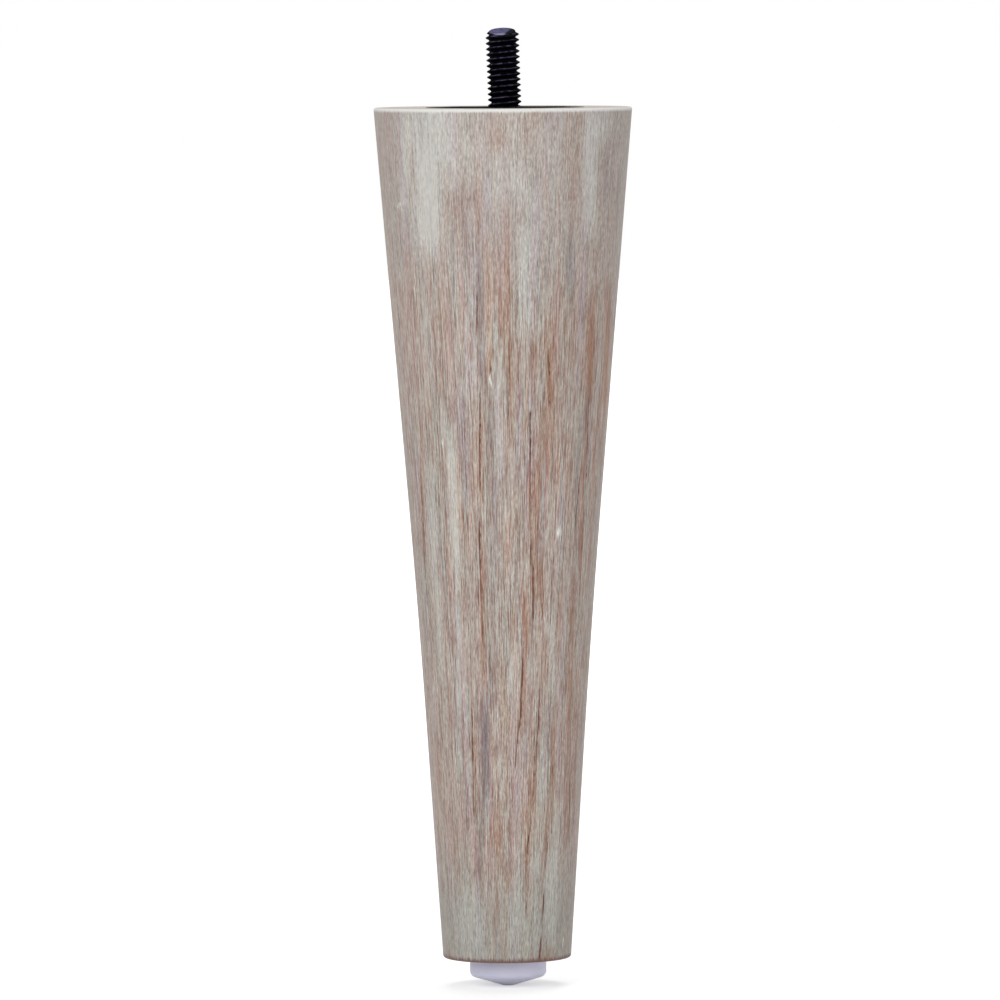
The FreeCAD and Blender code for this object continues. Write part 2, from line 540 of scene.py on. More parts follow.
def clouds(tree, place, detail, roughness=0.5, distortion=0.0, scale=1.0):
    return make(tree, "TexNoise", Vector=place, Scale=scale, Detail=detail, Roughness=roughness,
                Distortion=distortion)


def effect(name, inputs, outputs):
    """An empty shader group with named inputs (a default value, or None for a vector) and named outputs."""
    tree = bpy.data.node_groups.new(name, "ShaderNodeTree")
    for key, default in inputs.items():
        kind = "NodeSocketVector" if default is None else "NodeSocketFloat"
        socket = tree.interface.new_socket(key, in_out="INPUT", socket_type=kind)
        if default is not None:
            socket.default_value = default
    for key in outputs:
        tree.interface.new_socket(key, in_out="OUTPUT", socket_type="NodeSocketFloat")
    return tree, tree.nodes.new("NodeGroupInput").outputs, tree.nodes.new("NodeGroupOutput").inputs


def use(tree, group, values):
    node = make(tree, "Group")
    node.node_tree = group
    for key, value in values.items():
        put(tree, node.inputs[key], value)
    return node.outputs


def empty_tree(owner):
    owner.use_nodes = True
    owner.node_tree.nodes.clear()
    return owner.node_tree


def finish_material(name, **constants):
    """A material with one Principled BSDF, whose constants are set on its own sockets."""
    material = bpy.data.materials.new(name)
    tree = empty_tree(material)
    shader = make(tree, "BsdfPrincipled", **constants)
    make(tree, "OutputMaterial", Surface=shader.outputs[0])
    return material, tree, shader


def cover(tree, shader, colour, roughness, height, depth, strength):
    """The colour, the roughness, and a bump whose height, from 0 to 1, stands for a depth in metres."""
    put(tree, shader.inputs["Base Color"], colour)
    put(tree, shader.inputs["Roughness"], roughness)
    bump = make(tree, "Bump", Strength=strength, Distance=depth, Height=height)
    put(tree, shader.inputs["Normal"], bump.outputs[0])


def brush_mark_group():
    """A soft upright stroke: full on its middle line, which runs from one place across at the top to
    another at the bottom, and falling off by a smooth step over its width and past its two ends."""
    tree, given, result = effect(
        "brush mark",
        {"Before": 0.0, "Across": 0.0, "Height": 0.0, "Top": 0.0, "Bottom": 0.0, "Top Across": 0.0,
         "Bottom Across": 0.0, "Width": 1.0, "Fade": 1.0, "Strength": 1.0},
        ["Mask"])
    height, top, bottom, width, fade = (given[key] for key in ("Height", "Top", "Bottom", "Width", "Fade"))
    middle = ramp(tree, height, top, bottom, given["Top Across"], given["Bottom Across"], smooth=False)
    away = calc(tree, "ABSOLUTE", minus(tree, given["Across"], middle))
    beside = ramp(tree, away, times(tree, width, narrow_core), width, 1.0, 0.0)
    over = ramp(tree, height, add(tree, top, fade), minus(tree, top, fade))
    under = ramp(tree, height, minus(tree, bottom, fade), add(tree, bottom, fade))
    mask = times(tree, times(tree, beside, over), under)
    put(tree, result["Mask"], calc(tree, "MULTIPLY_ADD", mask, given["Strength"], given["Before"]))
    return tree


def scuff_group():
    """Small wear for hard parts: a worn mask and a tone from large clouds, and a relief from fine ones."""
    tree, given, result = effect(
        "scuffs and dust", {"Place": None, "Size": 0.004, "Amount": 0.5}, ["Worn", "Relief", "Tone"])
    place = vector(tree, "MULTIPLY", given["Place"], calc(tree, "DIVIDE", 1.0, given["Size"]))
    large = clouds(tree, place, 4, 0.6).outputs[0]
    edge = minus(tree, 0.75, times(tree, given["Amount"], 0.3))
    put(tree, result["Worn"], ramp(tree, large, edge, add(tree, edge, 0.12)))
    put(tree, result["Relief"], clouds(tree, place, 3, scale=9.0).outputs[0])
    put(tree, result["Tone"], large)
    return tree


brush_mark = brush_mark_group()
scuffs = scuff_group()


# The camera, and where a pixel of the photograph falls on the wood

def camera_axes():
    """Right, up and forward of the camera: tilted down, then rolled about its axis."""
    forward = Vector((0.0, math.cos(camera_tilt), -math.sin(camera_tilt)))
    level = forward.cross(Vector((0, 0, 1))).normalized()
    upright = level.cross(forward)
    right = level * math.cos(camera_roll) + upright * math.sin(camera_roll)
    up = upright * math.cos(camera_roll) - level * math.sin(camera_roll)
    return right, up, forward


camera_place = Vector((camera_side, -camera_distance, camera_height))
camera_right, camera_up, camera_forward = camera_axes()


def on_wood(x, y):
    """Where a pixel's ray meets the side of the wood: the ray is cut with a cylinder whose radius is the
    side's radius at the last height found, a few times over. Gives the distance across at the mean radius
    from the middle of the front, to the right, and the height, in millimetres."""
    reach = camera_sensor / camera_lens / photo_size
    ray = (camera_forward + camera_right * ((x - photo_size / 2) * reach)
           + camera_up * ((photo_size / 2 - y) * reach))
    start = camera_place / MM + Vector((wood_left_of_stud, 0, 0))
    height = 0.0
    for _ in range(ray_rounds):
        radius = float(side_curve(np.clip(height, -leg_length, 0))) - ray_inset
        a = ray.x ** 2 + ray.y ** 2
        b = start.x * ray.x + start.y * ray.y
        c = start.x ** 2 + start.y ** 2 - radius ** 2
        hit = start + ray * ((-b - math.sqrt(max(b * b - a * c, 0.0))) / a)
        height = hit.z
    return math.atan2(hit.x, -hit.y) * grain_radius, hit.z


# One stroke of the wash: the pixels of the photograph, across and down, where it begins and ends, its width
# in pixels and its strength.
Stroke = namedtuple("Stroke", "top bottom width strength")

strokes = {tone: [Stroke(*row) for row in rows] for tone, rows in {
    "cream": [
        ((424, 110), (428, 250), 52, 0.75), ((406, 110), (405, 215), 22, 0.5),
        ((428, 150), (431, 238), 26, 0.9), ((442, 110), (449, 180), 30, 0.6),
        ((470, 110), (468, 170), 50, 0.3), ((606, 108), (604, 138), 38, 0.6),
        ((430, 108), (430, 128), 90, 0.25), ((510, 110), (510, 200), 70, 0.3),
        ((552, 112), (545, 245), 34, 0.12), ((528, 195), (525, 350), 26, 0.24),
        ((523, 245), (523, 300), 16, 0.25), ((592, 110), (590, 235), 28, 0.7),
        ((423, 300), (428, 410), 20, 0.35), ((443, 255), (451, 395), 12, 0.25),
        ((500, 340), (500, 400), 9, 0.4), ((442, 400), (444, 440), 14, 0.35),
        ((450, 430), (456, 560), 18, 0.65), ((457, 550), (461, 700), 12, 0.4),
        ((430, 470), (436, 600), 20, 0.4), ((438, 600), (441, 670), 14, 0.4),
        ((499, 420), (499, 480), 10, 0.35), ((552, 600), (552, 700), 14, 0.3),
        ((515, 640), (512, 700), 16, 0.3), ((459, 700), (457, 790), 14, 0.25),
        ((544, 740), (541, 810), 12, 0.3), ((558, 800), (556, 850), 12, 0.25),
        ((470, 890), (468, 955), 44, 0.42), ((518, 880), (516, 945), 44, 0.27),
        ((553, 850), (551, 945), 26, 0.5)],
    "brown": [
        ((573, 112), (572, 240), 22, 0.18), ((531, 112), (526, 150), 26, 0.22),
        ((497, 125), (497, 150), 30, 0.6), ((478, 170), (479, 240), 10, 0.35),
        ((462, 185), (464, 240), 14, 0.35), ((452, 180), (455, 240), 12, 0.2),
        ((506, 205), (507, 245), 9, 0.4), ((495, 245), (492, 315), 34, 0.4),
        ((506, 245), (506, 310), 12, 0.3), ((553, 310), (551, 405), 16, 0.52),
        ((551, 345), (549, 400), 10, 0.2), ((592, 300), (589, 400), 20, 0.6),
        ((590, 335), (590, 385), 10, 0.5), ((609, 290), (604, 420), 18, 0.9),
        ((571, 300), (567, 400), 24, 0.15), ((535, 330), (533, 400), 14, 0.25),
        ((506, 320), (512, 400), 12, 0.4), ((490, 350), (491, 385), 8, 0.45),
        ((547, 400), (545, 480), 34, 0.4), ((535, 470), (536, 605), 22, 0.5),
        ((541, 560), (543, 605), 10, 0.35), ((588, 405), (584, 470), 12, 0.6),
        ((583, 470), (580, 570), 12, 0.6), ((598, 400), (586, 600), 14, 0.3),
        ((564, 430), (566, 462), 8, 0.35), ((480, 440), (481, 505), 8, 0.5),
        ((482, 560), (484, 700), 9, 0.42), ((421, 410), (425, 560), 8, 0.4),
        ((525, 600), (527, 645), 12, 0.65), ((524, 650), (521, 735), 8, 0.45),
        ((544, 640), (543, 690), 8, 0.4), ((573, 570), (571, 640), 11, 0.66),
        ((570, 650), (566, 850), 16, 0.45), ((577, 700), (573, 830), 10, 0.4),
        ((537, 740), (532, 795), 9, 0.25), ((531, 790), (527, 860), 9, 0.5),
        ((553, 705), (553, 795), 8, 0.4), ((549, 805), (542, 885), 9, 0.35),
        ((473, 735), (476, 805), 7, 0.45), ((457, 715), (457, 765), 7, 0.3),
        ((437, 735), (440, 795), 9, 0.35), ((448, 800), (452, 870), 14, 0.25),
        ((496, 812), (496, 862), 18, 0.5), ((508, 865), (508, 895), 12, 0.5),
        ((527, 860), (525, 910), 8, 0.5), ((504, 905), (504, 962), 8, 0.5),
        ((496, 880), (495, 940), 8, 0.45), ((481, 860), (480, 900), 10, 0.4),
        ((547, 948), (547, 962), 34, 0.8), ((449, 954), (449, 962), 16, 0.7)],
    "pink": [
        ((398, 205), (400, 245), 10, 0.55), ((405, 240), (414, 350), 11, 0.68),
        ((412, 350), (418, 400), 10, 0.35), ((442, 250), (451, 400), 12, 0.45),
        ((448, 310), (452, 365), 8, 0.4), ((435, 315), (437, 355), 6, 0.4),
        ((390, 130), (392, 200), 14, 0.3), ((474, 112), (475, 160), 16, 0.25),
        ((424, 340), (428, 420), 14, 0.25), ((557, 265), (558, 300), 6, 0.35),
        ((506, 420), (507, 485), 8, 0.45), ((508, 520), (508, 600), 14, 0.25),
        ((451, 565), (453, 640), 10, 0.4), ((562, 600), (561, 660), 12, 0.3),
        ((463, 640), (464, 690), 10, 0.35), ((450, 680), (450, 735), 12, 0.35),
        ((461, 790), (461, 850), 16, 0.4)],
    "grey": [
        ((421, 112), (422, 150), 9, 0.4), ((379, 112), (384, 250), 10, 0.35),
        ((606, 125), (606, 200), 12, 0.35), ((618, 180), (616, 235), 10, 0.5),
        ((462, 190), (466, 260), 8, 0.4), ((568, 240), (570, 290), 20, 0.65),
        ((478, 245), (480, 300), 7, 0.55), ((480, 295), (482, 400), 8, 0.7),
        ((583, 290), (582, 330), 10, 0.3), ((489, 395), (491, 475), 9, 0.52),
        ((493, 470), (493, 700), 16, 0.35), ((588, 395), (583, 440), 9, 0.6),
        ((580, 440), (577, 500), 8, 0.4), ((577, 500), (574, 600), 7, 0.4),
        ((405, 420), (418, 600), 10, 0.25), ((445, 472), (447, 525), 6, 0.4),
        ((584, 632), (583, 660), 12, 0.5), ((485, 700), (485, 800), 16, 1.0),
        ((482, 795), (479, 885), 13, 0.45), ((543, 895), (542, 955), 6, 0.5)],
    "line": [
        ((477, 296), (477, 334), 2.2, 0.7), ((549, 350), (549, 408), 2.6, 0.8),
        ((439, 400), (440, 434), 2, 0.8), ((480, 386), (480, 490), 2.4, 0.8),
        ((479, 520), (483, 644), 3, 0.8), ((530, 410), (531, 568), 2.6, 0.85),
        ((533, 560), (533, 622), 2.8, 0.8), ((589, 396), (586, 478), 2.6, 0.9),
        ((420, 456), (427, 604), 2.4, 0.65), ((491, 364), (491, 378), 2.4, 0.95),
        ((523, 660), (520, 727), 2.8, 0.95), ((519, 719), (515, 768), 2.4, 0.65),
        ((540, 686), (537, 748), 2.4, 0.9), ((536, 744), (532, 808), 2.4, 0.9),
        ((472, 712), (474, 816), 2.4, 0.85), ((552, 764), (552, 785), 2, 0.8),
        ((570, 778), (569, 842), 2.4, 0.7), ((530, 826), (526, 856), 3, 0.9),
        ((526, 878), (526, 916), 2.2, 0.75), ((548, 838), (545, 868), 2.4, 0.75),
        ((544, 890), (543, 916), 2.6, 0.8), ((541, 936), (539, 962), 3, 0.9),
        ((494, 909), (494, 940), 1.8, 0.45), ((525, 597), (523, 655), 2.2, 0.6),
        ((541, 590), (543, 620), 2.2, 0.7), ((580, 472), (575, 530), 2.2, 0.55)],
    "white": [
        ((490, 377), (491, 386), 3.4, 0.9), ((559, 527), (559, 537), 9, 0.7),
        ((536, 711), (536, 714), 1.6, 1.0), ((443, 440), (442, 446), 2.4, 0.8),
        ((564, 936), (562, 948), 2, 0.6), ((414, 284), (415, 297), 2.6, 0.6),
        ((399, 205), (400, 208), 14, 0.7)],
}.items()}


def smooth(share):
    share = np.clip(share, 0, 1)
    return share * share * (3 - 2 * share)


def stroke_ends(stroke, longest_fade):
    """A stroke's two ends on the unrolled side, its half width there and how far its ends fade out."""
    top_across, top = on_wood(*stroke.top)
    bottom_across, bottom = on_wood(*stroke.bottom)
    radius = float(side_curve(np.clip((top + bottom) / 2, -leg_length, 0)))
    width = stroke.width * pixel_size / 2 * grain_radius / radius
    return top_across, top, bottom_across, bottom, width, min(longest_fade, (top - bottom) / 2)


def brushed(tone, across, height):
    """The sum of a tone's broad strokes over the side. A stroke is full near its middle line, which runs
    from one place across at its top to another at its bottom, falls off by a smooth step over its half
    width, and fades past its two ends."""
    total = np.zeros_like(across)
    for stroke in strokes[tone]:
        top_across, top, bottom_across, bottom, width, fade = stroke_ends(stroke, broad_fade)
        middle = np.interp(height, [bottom, top], [bottom_across, top_across])
        beside = 1 - smooth((np.abs(across - middle) / width - broad_core) / (1 - broad_core))
        over = smooth((top + fade - height) / (2 * fade))
        under = smooth((height - bottom + fade) / (2 * fade))
        total = total + beside * over * under * stroke.strength
    return np.clip(total, 0, 1)


def brush_the_side(made, inner, columns):
    """The broad strokes as attributes of the wood's points: cream, brown and pink in one, grey in another."""
    across = (np.arange(columns) / columns * TURN - math.pi) * grain_radius
    across, height = np.broadcast_arrays(across, inner[:, 1][:, None])
    tones = np.zeros((len(made.data.vertices), len(broad_tones)))
    for channel, tone in enumerate(broad_tones):
        tones[:-2, channel] = brushed(tone, across, height).ravel()
    write_attribute(made, "brushed_tones", tones[:, :3])
    write_attribute(made, "brushed_grey", tones[:, 3])


def line_masks(tree, across, height):
    """One mask for each narrow tone, summed over its strokes."""
    masks = {}
    for tone in ("line", "white"):
        mask = 0.0
        for stroke in strokes[tone]:
            top_across, top, bottom_across, bottom, width, fade = stroke_ends(stroke, narrow_fade)
            mask = use(tree, brush_mark, {
                "Before": mask, "Across": across, "Height": height, "Top": top, "Bottom": bottom,
                "Top Across": top_across, "Bottom Across": bottom_across, "Width": width, "Fade": fade,
                "Strength": stroke.strength})[0]
        masks[tone] = ramp(tree, mask, 0.1, 0.75, smooth=False)
    return masks


# The wood's noise: its size across the grain and along it, in millimetres, its detail, roughness and
# distortion.
Grain = namedtuple("Grain", "across along detail roughness distortion", defaults=(0.0,))

wander = Grain(18, 90, 1, 0.5)
wander_reach = (1.2, 1.2, 0.0)
grains = {
    "broad": Grain(8, 60, 2, 0.5),
    "middle": Grain(2.4, 40, 2, 0.6),
    "threads": Grain(0.42, 50, 2, 0.6),
    "comb": Grain(0.55, 14, 3, 0.6),
    "fine": Grain(0.8, 6, 3, 0.65),
    "hair": Grain(0.28, 7, 1, 0.6),
    "speck": Grain(0.27, 1.6, 1, 0.6),
}
tint_grains = {
    "tint": Grain(3.6, 55, 2, 0.55, 0.3),
    "thread tint": Grain(1.1, 30, 2, 0.55),
    "seams": Grain(1.0, 34, 1, 0.5),
}

# How strongly each grain and each broad tone moves the share of wash, about its mean.
wash_mean = 0.445
wash_gains = {"hair": 1.0, "threads": 0.45, "comb": 0.08, "fine": 0.05}
cream_gain = 0.55
brown_gain = 0.42

# Two of these tones are painted light: the one for the top edge is a painted highlight over wash built up
# there, and the one for the foot's edge is wear with painted shade.
wood_tones = {name: paint(*seen) for name, seen in {
    "bare": (151, 110, 90), "bare rose": (157, 121, 109), "bare grey": (130, 114, 108),
    "bare brown": (158, 114, 86), "wash green": (191, 196, 189), "wash": (198, 197, 189),
    "wash violet": (193, 188, 194), "film": (203, 199, 192), "pink": (178, 140, 132), "grey": (112, 99, 103),
    "seam": (116, 80, 62), "pale seam": (204, 200, 192), "upper": (188, 184, 182), "foot": (148, 155, 147),
    "line": (102, 57, 34), "white": (226, 222, 216), "rim_highlight": (232, 232, 229), "foot wear and shade": (112, 74, 64),
}.items()}
plain = (1, 1, 1, 1)
rose_cast = (1.06, 0.985, 0.975, 1)
orange_cast = (1.055, 0.987, 0.93, 1)
cool_cast = (0.965, 1.008, 1.025, 1)
grit_cast = (0.84, 1.09, 1.1, 1)
light_level = (0.986, 1.0, 1.006)


def wood_side_material():
    """Reddish brown wood under a worn grey-white wash. Seven sizes of grain, all drawn out along the leg,
    decide how much of the wash is left, and listed strokes lead them."""
    material, tree, shader = finish_material("whitewashed wood side", Roughness=0.55, Specular_IOR_Level=0.35)
    unrolled = make(tree, "UVMap")
    unrolled.uv_map = "unrolled_side"
    side = parts_of(tree, unrolled.outputs[0])
    across = times(tree, minus(tree, side[0], 0.5), TURN * grain_radius)
    height = times(tree, minus(tree, side[1], 1.0), leg_length)

    def grown(place, grain):
        return clouds(tree, stretch(tree, place, grain.across, grain.along), *grain[2:])

    def around(value, gain):
        return times(tree, minus(tree, value, 0.5), gain)

    def lay(share, tone):
        return blend(tree, share, colour, wood_tones[tone])

    place = attribute(tree, "straight_grain")
    place = vector(tree, "MULTIPLY_ADD", grown(place, wander).outputs["Color"], wander_reach, place)
    field = {name: grown(place, grain).outputs[0] for name, grain in grains.items()}
    hair, threads, comb, fine, speck = (field[name] for name in ("hair", "threads", "comb", "fine", "speck"))
    tint, thread_tint, seams = (
        parts_of(tree, grown(place, grain).outputs["Color"]) for grain in tint_grains.values())

    # Strokes, ragged along their edges
    near_across = add(tree, across, around(speck, 0.5))
    near_height = add(tree, height, around(hair, 6.0))
    masks = line_masks(tree, near_across, near_height)
    ragged = add(tree, add(tree, around(comb, 0.7), around(fine, 0.9)), 1.05)
    brush = (*parts_of(tree, attribute(tree, "brushed_tones")), attribute(tree, "brushed_grey", "Fac"))
    for tone, given in zip(broad_tones, brush):
        masks[tone] = ramp(tree, times(tree, given, ragged), 0, 1, smooth=False)

    # Where the wash lies as a closed film the grain is quiet: by the strokes, at the top and at the foot
    upper = ramp(tree, height, *upper_zone)
    ends = calc(tree, "MAXIMUM", upper, ramp(tree, height, *foot_zone, 0.0, 0.5))
    film = calc(tree, "MAXIMUM", brush[0], times(tree, ends, 0.75))
    quiet = minus(tree, 1.0, times(tree, film, 0.7))
    lower = minus(tree, 1.0, times(tree, film, 0.9))

    # The share of wash
    streaks = 0.0
    for name, gain in wash_gains.items():
        streaks = add(tree, streaks, around(field[name], gain))
    specks = times(tree, around(speck, 0.5), add(tree, 0.6, ends))
    streaks = add(tree, times(tree, streaks, quiet), specks)
    wash = add(tree, streaks, add(tree, around(field["middle"], 0.1), wash_mean))
    behind = ramp(tree, calc(tree, "ABSOLUTE", across), 50, 68, 0.15, 1.3)
    wash = add(tree, wash, times(tree, around(field["broad"], 1.0), behind))
    wash = add(tree, wash, times(tree, masks["cream"], cream_gain))
    wash = minus(tree, wash, times(tree, masks["brown"], brown_gain))
    wash = ramp(tree, wash, -0.05, 1.05)

    # Bare wood, wash, and one over the other
    colour = blend(tree, ramp(tree, tint[0], 0.42, 0.58), wood_tones["bare"], wood_tones["bare rose"])
    colour = lay(ramp(tree, thread_tint[1], 0.46, 0.64, 0, 0.6), "bare grey")
    under = lay(times(tree, masks["brown"], 0.8), "bare brown")
    colour = blend(tree, ramp(tree, tint[1], 0.42, 0.58), wood_tones["wash green"], wood_tones["wash"])
    colour = lay(ramp(tree, tint[2], 0.5, 0.66, 0, 0.8), "wash violet")
    over = lay(masks["cream"], "film")
    colour = blend(tree, wash, under, over)

    # Tints of single threads, strokes and seams
    for level, low, high, cast in (
            (thread_tint[0], 0.5, 0.64, rose_cast), (thread_tint[2], 0.52, 0.64, orange_cast),
            (thread_tint[2], 0.48, 0.36, cool_cast)):
        share = times(tree, ramp(tree, level, low, high), lower)
        colour = vector(tree, "MULTIPLY", colour, blend(tree, share, plain, cast))
    colour = lay(times(tree, masks["pink"], 0.7), "pink")
    colour = lay(times(tree, masks["grey"], add(tree, 0.7, around(comb, 1.3))), "grey")
    for level, tone, share, breaks in ((seams[0], "seam", 0.45, comb), (seams[1], "pale seam", 0.16, fine)):
        thin = ramp(tree, calc(tree, "ABSOLUTE", around(level, 1.0)), 0.022, 0.008)
        thin = times(tree, thin, ramp(tree, breaks, 0.44, 0.56))
        colour = lay(times(tree, thin, times(tree, lower, share)), tone)
    colour = lay(times(tree, upper, 0.16), "upper")
    colour = lay(times(tree, ramp(tree, height, -205, -232), 0.35), "foot")
    line = times(tree, masks["line"], ramp(tree, fine, 0.42, 0.54, 0.3, 1.0))
    colour = lay(line, "line")
    colour = lay(masks["white"], "white")

    # Fine grit, browner where it is dark: partly dark grain and partly painted shade of its grooves. Then the
    # top edge and the foot's edge
    dark_hair = ramp(tree, hair, 0.25, 0.55, -0.32, 0.1, smooth=False)
    dark_thread = ramp(tree, threads, 0.28, 0.44, -0.32, 0.03, smooth=False)
    dense = ramp(tree, height, -60, -200, 0.85, 1.3)
    dense = times(tree, dense, add(tree, 0.35, times(tree, quiet, 0.65)))
    grit = add(tree, times(tree, add(tree, dark_hair, dark_thread), quiet),
               times(tree, around(speck, 1.0), dense))
    warmth = blend(tree, times(tree, lower, lower), plain, grit_cast)
    light = vector(tree, "MULTIPLY_ADD", grit, warmth, light_level)
    colour = vector(tree, "MULTIPLY", colour, light)
    # A painted highlight along the top edge, over wash built up there
    rim_highlight = ramp(tree, add(tree, height, around(speck, 0.4)), -1.3, -0.4)
    colour = lay(times(tree, rim_highlight, 0.9), "rim_highlight")
    # The foot's edge darkened, partly by wear and partly by painted shade
    foot_wear_and_shade = ramp(tree, add(tree, height, around(fine, 3.0)), 1.6 - leg_length, 0.5 - leg_length)
    colour = lay(times(tree, foot_wear_and_shade, 0.8), "foot wear and shade")
    rough = add(tree, times(tree, comb, 0.6), times(tree, hair, 0.4))
    rough = minus(tree, rough, times(tree, line, 0.8))
    cover(tree, shader, colour, ramp(tree, wash, 0, 1, 0.5, 0.68), rough, 0.00022, 0.45)
    return material


def wood_end_material():
    """End grain under the wash: soft rings about a centre off the axis, fine pores and a pale film."""
    material, tree, shader = finish_material("whitewashed wood end", Roughness=0.65, Specular_IOR_Level=0.3)
    place = object_place(tree)
    moved = make(tree, "Mapping", Vector=place, Location=(0.034, -0.052, 0.0), Scale=(1.0, 1.0, 0.0))
    waves = make(tree, "TexWave", Vector=moved.outputs[0], Scale=90.0, Distortion=2.4, Detail=3.0,
                 Detail_Scale=1.6)
    waves.wave_type = "RINGS"
    waves.rings_direction = "SPHERICAL"
    rings = waves.outputs["Fac"]
    pores = clouds(tree, place, 3, scale=1400.0).outputs[0]
    film = clouds(tree, place, 5, scale=90.0).outputs[0]
    colour = blend(tree, rings, paint(192, 177, 166), paint(206, 198, 190))
    colour = blend(tree, ramp(tree, film, 0.4, 0.65, 0.15, 0.75), colour, paint(214, 209, 203))
    colour = blend(tree, ramp(tree, pores, 0.56, 0.68, 0.0, 0.5), colour, paint(146, 118, 104))
    cover(tree, shader, colour, 0.65, add(tree, rings, pores), 0.0001, 0.5)
    return material


def scuffed(tree, size, amount):
    return use(tree, scuffs, {"Place": object_place(tree), "Size": size, "Amount": amount})


def black_metal_material(name, dark, light, size, amount, relief_depth, **constants):
    """Blackened steel: nearly black, lifted a little where the clouds of scuffs and dust lie."""
    material, tree, shader = finish_material(name, **constants)
    worn = scuffed(tree, size, amount)
    colour = blend(tree, worn["Tone"], dark, light)
    colour = blend(tree, times(tree, worn["Worn"], 0.5), colour, paint(92, 90, 98))
    base = constants["Roughness"]
    roughness = ramp(tree, worn["Tone"], 0.3, 0.7, base - 0.06, base + 0.12)
    cover(tree, shader, colour, roughness, worn["Relief"], relief_depth, 0.4)
    return material


def stud_material():
    """Blackened thread: almost black, with a lavender highlight painted along the upper flanks in patches,
    and a bare cut end whose right side and edge are black again. Its front edge carries a painted highlight."""
    material, tree, shader = finish_material("blackened stud steel", Roughness=0.5, Specular_IOR_Level=0.02)
    place = object_place(tree)
    flank_highlight_share, on_end_face, _ = parts_of(tree, attribute(tree, "painted_highlight_and_end_face"))
    patches = clouds(tree, stretch(tree, place, 0.0016, 0.0007), 2, 0.6).outputs[0]
    mottle = clouds(tree, stretch(tree, place, 0.0011, 0.0011), 3, 0.65).outputs[0]
    # A painted highlight: a lavender tone laid along the upper flanks, in patches
    painted_sheen = times(tree, flank_highlight_share, ramp(tree, patches, 0.42, 0.66, 0.08, 1.0))
    colour = blend(tree, painted_sheen, paint(3, 3, 6), paint(104, 100, 130))
    x, y, _ = parts_of(tree, place)
    right = add(tree, minus(tree, x, times(tree, y, 0.35)), times(tree, mottle, 0.0016))
    bare = times(tree, on_end_face, ramp(tree, right, 0.0024, 0.0014))
    cut_face = blend(tree, ramp(tree, mottle, 0.4, 0.6), paint(66, 65, 96), paint(96, 95, 128))
    # A painted highlight along the front edge of the cut end
    front = ramp(tree, add(tree, y, times(tree, mottle, 0.001)), -0.0019, -0.0029)
    cut_face = blend(tree, front, cut_face, paint(150, 148, 178))
    colour = blend(tree, bare, colour, cut_face)
    cover(tree, shader, colour, ramp(tree, mottle, 0.3, 0.7, 0.44, 0.6), mottle, 0.00006, 0.5)
    return material


def glide_material():
    """Milky nylon: white with a trace of lavender, faint mould flow and fine scuffs, and painted shade that
    darkens it towards where it stands.
    """
    material, tree, shader = finish_material("white nylon", Roughness=0.42, Specular_IOR_Level=0.5)
    worn = scuffed(tree, 0.006, 0.3)
    colour = blend(tree, worn["Tone"], paint(217, 217, 241), paint(229, 229, 248))
    # Painted shade: the colour darkens towards the bottom of the glide, where it faces the floor
    low = ramp(tree, parts_of(tree, object_place(tree))[2], ground, ground + glide_shade_height * MM)
    colour = blend(tree, ramp(tree, low, 0, 1, 0.35, 0.0), colour, paint(170, 178, 186))
    colour = blend(tree, times(tree, worn["Worn"], 0.25), colour, paint(170, 170, 180))
    roughness = ramp(tree, worn["Tone"], 0.3, 0.7, 0.36, 0.5)
    cover(tree, shader, colour, roughness, worn["Relief"], 0.00006, 0.35)
    return material


def nail_material():
    material, tree, shader = finish_material("bright nail steel", Roughness=0.35, Metallic=1.0)
    worn = scuffed(tree, 0.002, 0.5)
    colour = blend(tree, worn["Worn"], paint(180, 180, 184), paint(140, 132, 124))
    roughness = ramp(tree, worn["Tone"], 0.3, 0.7, 0.28, 0.5)
    cover(tree, shader, colour, roughness, worn["Relief"], 0.00004, 0.4)
    return material


def dress(node, *materials):
    node.data.materials.clear()
    for material in materials:
        node.data.materials.append(material)


straight_grain(wood, wood_rings, wood_columns)
brush_the_side(wood, wood_rings, wood_columns)
dress(wood, wood_side_material(), wood_end_material())
centres = read_values(wood.data.polygons, "center", 3).reshape(-1, 3)
normals = read_values(wood.data.polygons, "normal", 3).reshape(-1, 3)
outer = np.hypot(centres[:, 0], centres[:, 1])
in_socket = (outer < (socket_radius + socket_margin) * MM) & (centres[:, 2] > -socket_reach * MM)
on_end = (np.abs(normals[:, 2]) > end_facing) | in_socket
wood.data.polygons.foreach_set("material_index", on_end.astype(np.int32))

dress(stud, stud_material())
dress(nodes["top_plate"], black_metal_material(
    "blackened plate steel", paint(6, 6, 7), paint(18, 18, 20), 0.006, 0.1, 0.00005,
    Roughness=0.6, Specular_IOR_Level=0.02))
screw_finish = black_metal_material(
    "blackened screw steel", paint(15, 15, 17), paint(27, 27, 30), 0.0016, 0.5, 0.00004,
    Roughness=0.4, Metallic=0.3, Specular_IOR_Level=0.4)
for name in nodes:
    if name.startswith("plate_screw"):
        dress(nodes[name], screw_finish)
dress(glide, glide_material())
dress(nodes["glide_nail"], nail_material())

for piece, node, slot in (
        (wood, "leg_body", "whitewashed_wood"), (stud, "stud", "black_stud_steel"),
        (glide, "glide_pad", "white_plastic")):
    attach(piece, "root")
    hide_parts(node)


# Floor, lamps, world and camera

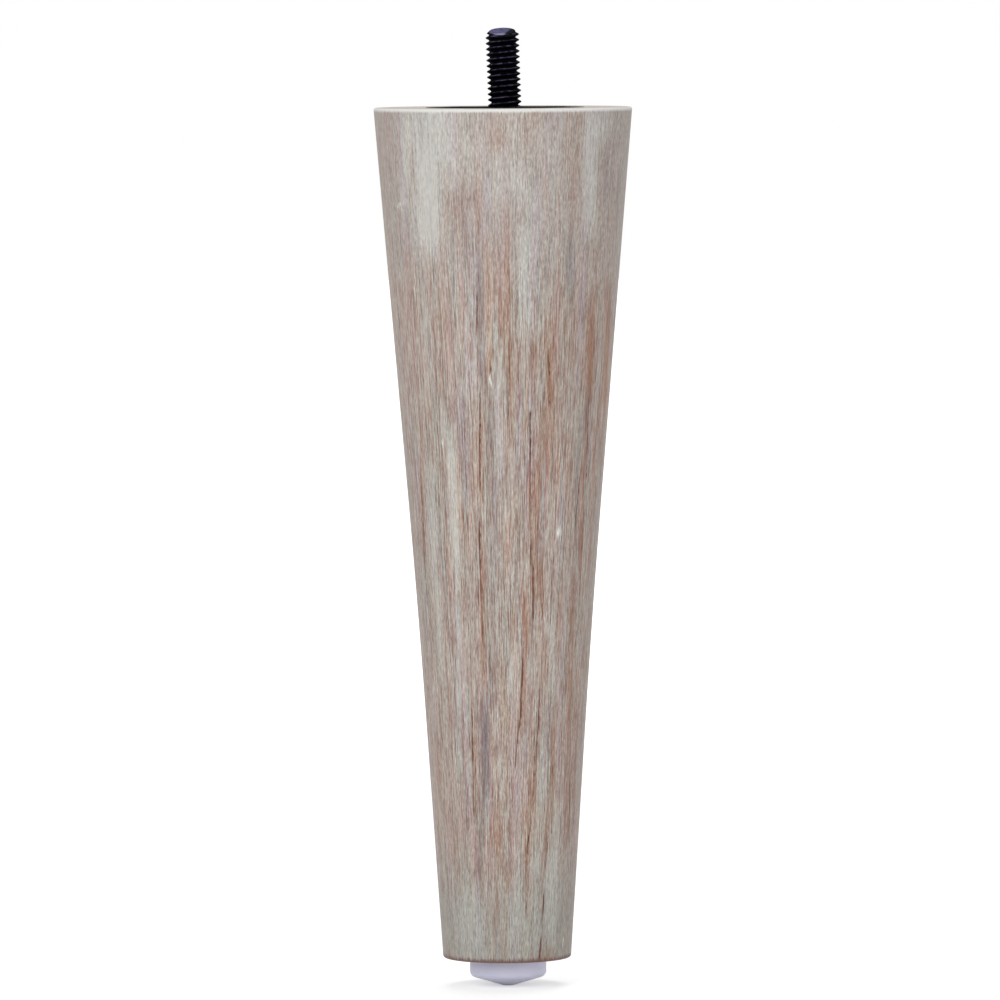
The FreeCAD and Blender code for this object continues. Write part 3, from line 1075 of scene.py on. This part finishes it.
def make_floor():
    """A plain pale floor. It keeps the object's shadow; for the camera its own brightness is topped up, so
    that it is white away from that shadow."""
    corners = [(x * floor_half, y * floor_half, ground) for x, y in ((-1, -1), (1, -1), (1, 1), (-1, 1))]
    mesh = bpy.data.meshes.new("floor")
    mesh.from_pydata(corners, [], [(0, 1, 2, 3)])
    floor = add_object("floor", mesh)
    material = bpy.data.materials.new("pale floor")
    tree = empty_tree(material)
    seen = make(tree, "LightPath").outputs
    direct = calc(tree, "MAXIMUM", seen["Is Camera Ray"], seen["Is Glossy Ray"])
    direct = calc(tree, "MAXIMUM", direct, seen["Is Transmission Ray"])
    away = make(tree, "VectorMath")
    away.operation = "LENGTH"
    put(tree, away.inputs[0], object_place(tree))
    reach = ramp(tree, away.outputs["Value"], near_reach, far_reach, near_glow, far_glow)
    matt = make(tree, "BsdfDiffuse", Color=(0.75, 0.75, 0.75, 1))
    glow = make(tree, "Emission", Color=plain, Strength=times(tree, direct, reach))
    both = make(tree, "AddShader")
    put(tree, both.inputs[0], matt.outputs[0])
    put(tree, both.inputs[1], glow.outputs[0])
    make(tree, "OutputMaterial", Surface=both.outputs[0])
    mesh.materials.append(material)


def make_lamp(name, place, size, power):
    """A square soft box that faces the middle of the leg."""
    lamp = bpy.data.lights.new(name, "AREA")
    lamp.shape = "SQUARE"
    lamp.size = size
    lamp.energy = power
    made = add_object(name, lamp)
    made.location = place
    aim = Vector(lamp_aim) - Vector(place)
    made.rotation_euler = aim.to_track_quat("-Z", "Y").to_euler()


def make_world():
    """Even grey light for the object, and plain white where the camera sees past the floor."""
    world = bpy.data.worlds.new("studio")
    bpy.context.scene.world = world
    tree = empty_tree(world)
    seen = make(tree, "LightPath").outputs["Is Camera Ray"]
    strength = ramp(tree, seen, 0, 1, world_light, 1.0, smooth=False)
    back = make(tree, "Background", Color=plain, Strength=strength)
    make(tree, "OutputWorld", Surface=back.outputs[0])


def make_camera():
    data = bpy.data.cameras.new("camera")
    data.lens = camera_lens
    data.sensor_width = camera_sensor
    data.clip_start = 0.05
    data.clip_end = 30.0
    made = add_object("camera", data)
    turn = Matrix((camera_right, camera_up, -camera_forward)).transposed().to_4x4()
    made.matrix_world = Matrix.Translation(camera_place) @ turn
    bpy.context.scene.camera = made


make_floor()
make_world()
make_lamp("front soft box", place=(-0.9, -1.7, 0.7), size=1.2, power=21.3)
make_lamp("side soft box", place=(1.5, -1.1, 0.2), size=1.0, power=6.6)
make_lamp("top soft box", place=(0.1, 0.5, 1.5), size=1.2, power=13.0)
make_camera()

bpy.context.scene.view_settings.view_transform = "Standard"
